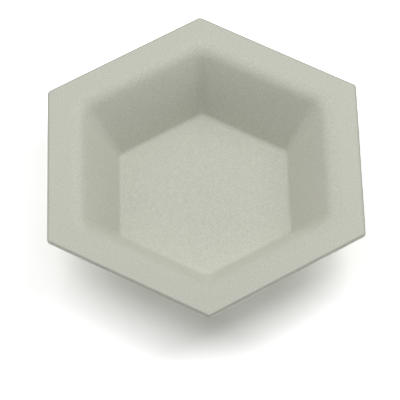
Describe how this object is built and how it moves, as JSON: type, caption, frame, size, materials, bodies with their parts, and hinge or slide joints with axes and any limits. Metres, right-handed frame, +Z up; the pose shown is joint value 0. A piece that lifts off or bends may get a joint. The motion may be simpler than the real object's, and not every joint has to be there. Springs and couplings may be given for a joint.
{
  "type": "weighing boat",
  "caption": "Shallow hexagonal weighing dish with a flat floor, sloping walls and a wide flat flange, formed from one plastic sheet.",
  "frame": {"origin": "middle of the underside of the floor", "axes": "+Z up, square to the floor; +Y from the centre to one corner of the hexagon; +X square to one straight edge"},
  "size_m": [0.092, 0.1058, 0.018],
  "materials": {
    "polystyrene": "matte"
  },
  "bodies": {
    "root": {"weighing_dish": "polystyrene"}
  },
  "joints": []
}
